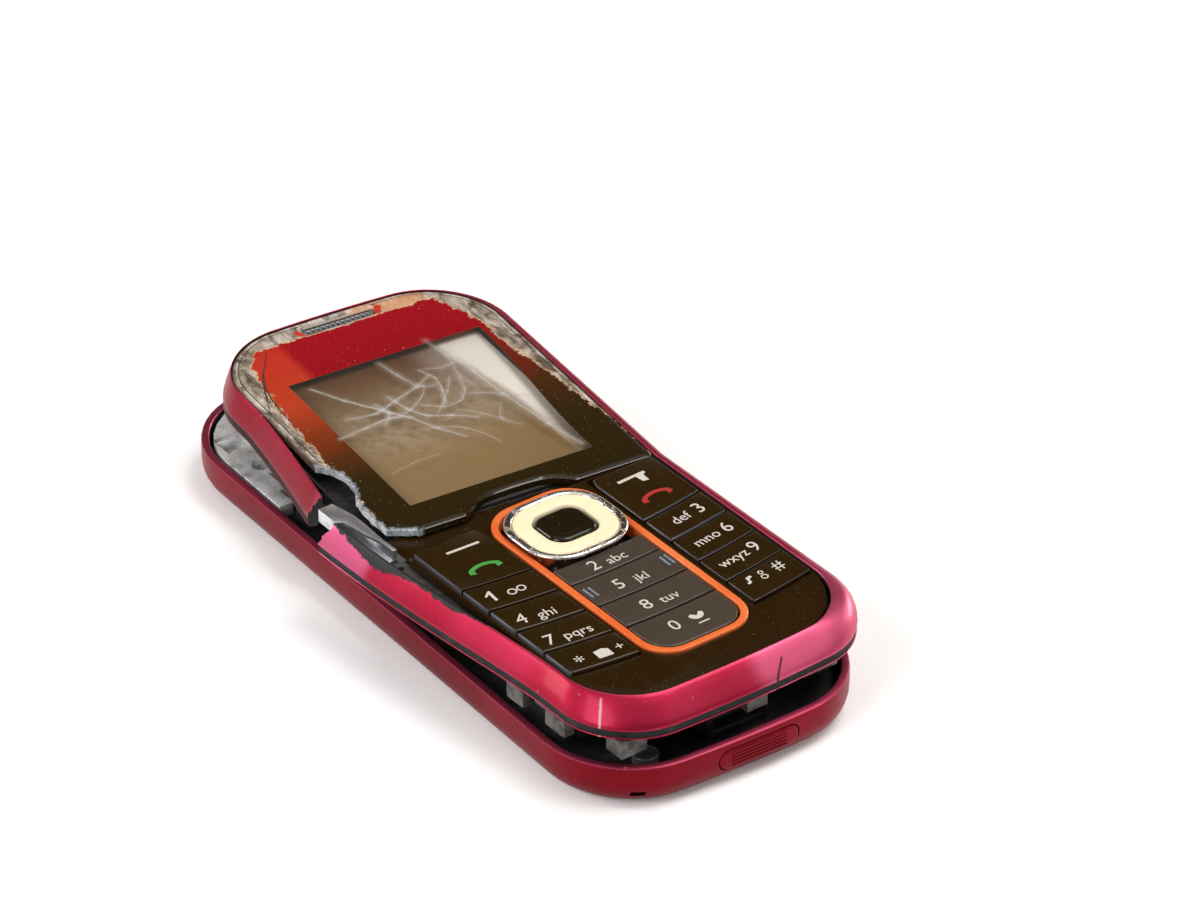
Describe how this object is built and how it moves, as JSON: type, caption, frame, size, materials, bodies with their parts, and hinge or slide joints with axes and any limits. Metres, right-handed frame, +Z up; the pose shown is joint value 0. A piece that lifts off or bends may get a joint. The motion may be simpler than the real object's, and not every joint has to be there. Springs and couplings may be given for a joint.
{
  "type": "broken mobile phone",
  "caption": "Candybar mobile phone with a shattered display lens, its front frame snapped at the left rail and lifted off the rear shell; the keys still press.",
  "frame": {"origin": "middle of the rear shell's flat underside", "axes": "+Y along the phone towards the earpiece end, +Z up out of the keypad, +X to the right as read"},
  "size_m": [0.0523, 0.1099, 0.017],
  "materials": {
    "shell_red": "satin lacquered crimson, scuffed",
    "frame_red": "metallic crimson lacquer, worn and chipped",
    "black_plastic": "matt black moulding",
    "pale_plastic": "pale moulded plastic, dusty",
    "battery_skin": "printed foil skin",
    "gold": "gold plated",
    "dark_plastic": "dark moulded plastic",
    "bright_metal": "bright sheet metal",
    "board_green": "solder mask",
    "dark_metal": "dull steel",
    "lens_clear": "clear plastic, crazed, print on the back",
    "rubber_black": "silicone",
    "display_dead": "dead display, tan",
    "flex_amber": "polyimide flex",
    "grey_plastic": "grey translucent moulding, dirty",
    "gloss_black": "glossy black",
    "trim_orange": "orange satin",
    "nav_ivory": "ivory face with a worn chrome rim",
    "key_grey": "satin dark grey"
  },
  "bodies": {
    "root": {"rear_shell": "shell_red", "end_cover": "shell_red", "rear_chassis": "black_plastic", "antenna_carrier": "pale_plastic", "battery": "battery_skin", "battery_contacts": "gold", "loudspeaker": "dark_plastic", "vibration_motor": "bright_metal", "microphone": "bright_metal", "system_connector": "dark_plastic", "circuit_board": "board_green", "shield_cans": "bright_metal", "sim_holder": "bright_metal", "board_screws": "dark_metal", "front_frame": "frame_red", "display_lens": "lens_clear", "lens_gasket": "rubber_black", "display_bezel": "dark_metal", "display_panel": "display_dead", "display_backlight": "pale_plastic", "display_flex": "flex_amber", "earpiece": "dark_plastic", "earpiece_grille": "bright_metal", "side_bracket": "bright_metal", "light_guide": "grey_plastic", "dome_sheet": "pale_plastic", "key_mat": "rubber_black", "face_plate": "gloss_black", "trim_ring": "trim_orange"},
    "left_soft_key": {"left_soft_key": "gloss_black"},
    "right_soft_key": {"right_soft_key": "gloss_black"},
    "key_1": {"key_1": "gloss_black"},
    "key_4": {"key_4": "gloss_black"},
    "key_7": {"key_7": "gloss_black"},
    "key_star": {"key_star": "gloss_black"},
    "key_3": {"key_3": "gloss_black"},
    "key_6": {"key_6": "gloss_black"},
    "key_9": {"key_9": "gloss_black"},
    "key_hash": {"key_hash": "gloss_black"},
    "key_2": {"key_2": "key_grey"},
    "key_5": {"key_5": "key_grey"},
    "key_8": {"key_8": "key_grey"},
    "key_0": {"key_0": "key_grey"},
    "nav_actuator": {"nav_actuator": "pale_plastic"},
    "nav_key": {"nav_key": "nav_ivory"},
    "select_key": {"select_key": "gloss_black"}
  },
  "joints": [
    {"name": "left_soft_key_press", "type": "slide", "parent": "root", "child": "left_soft_key", "axis": [0, 0, -1], "range_m": [0, 0.00035], "stiffness_N_per_m": 900},
    {"name": "right_soft_key_press", "type": "slide", "parent": "root", "child": "right_soft_key", "axis": [0, 0, -1], "range_m": [0, 0.00035], "stiffness_N_per_m": 900},
    {"name": "key_1_press", "type": "slide", "parent": "root", "child": "key_1", "axis": [0, 0, -1], "range_m": [0, 0.00035], "stiffness_N_per_m": 900},
    {"name": "key_4_press", "type": "slide", "parent": "root", "child": "key_4", "axis": [0, 0, -1], "range_m": [0, 0.00035], "stiffness_N_per_m": 900},
    {"name": "key_7_press", "type": "slide", "parent": "root", "child": "key_7", "axis": [0, 0, -1], "range_m": [0, 0.00035], "stiffness_N_per_m": 900},
    {"name": "key_star_press", "type": "slide", "parent": "root", "child": "key_star", "axis": [0, 0, -1], "range_m": [0, 0.00035], "stiffness_N_per_m": 900},
    {"name": "key_3_press", "type": "slide", "parent": "root", "child": "key_3", "axis": [0, 0, -1], "range_m": [0, 0.00035], "stiffness_N_per_m": 900},
    {"name": "key_6_press", "type": "slide", "parent": "root", "child": "key_6", "axis": [0, 0, -1], "range_m": [0, 0.00035], "stiffness_N_per_m": 900},
    {"name": "key_9_press", "type": "slide", "parent": "root", "child": "key_9", "axis": [0, 0, -1], "range_m": [0, 0.00035], "stiffness_N_per_m": 900},
    {"name": "key_hash_press", "type": "slide", "parent": "root", "child": "key_hash", "axis": [0, 0, -1], "range_m": [0, 0.00035], "stiffness_N_per_m": 900},
    {"name": "key_2_press", "type": "slide", "parent": "root", "child": "key_2", "axis": [0, 0, -1], "range_m": [0, 0.00035], "stiffness_N_per_m": 900},
    {"name": "key_5_press", "type": "slide", "parent": "root", "child": "key_5", "axis": [0, 0, -1], "range_m": [0, 0.00035], "stiffness_N_per_m": 900},
    {"name": "key_8_press", "type": "slide", "parent": "root", "child": "key_8", "axis": [0, 0, -1], "range_m": [0, 0.00035], "stiffness_N_per_m": 900},
    {"name": "key_0_press", "type": "slide", "parent": "root", "child": "key_0", "axis": [0, 0, -1], "range_m": [0, 0.00035], "stiffness_N_per_m": 900},
    {"name": "select_key_press", "type": "slide", "parent": "root", "child": "select_key", "axis": [0, 0, -1], "range_m": [0, 0.00035], "stiffness_N_per_m": 900},
    {"name": "nav_up_down", "type": "hinge", "parent": "root", "child": "nav_actuator", "pos_m": [-0.00019, -0.01189, 0.01335], "axis": [0.9991, 0.0419, 0], "range_deg": [-1.5, 1.5], "stiffness_Nm_per_rad": 0.06},
    {"name": "nav_left_right", "type": "hinge", "parent": "nav_actuator", "child": "nav_key", "pos_m": [-0.00019, -0.01189, 0.0138], "axis": [-0.0419, 0.9991, 0], "range_deg": [-1.5, 1.5], "stiffness_Nm_per_rad": 0.06}
  ]
}
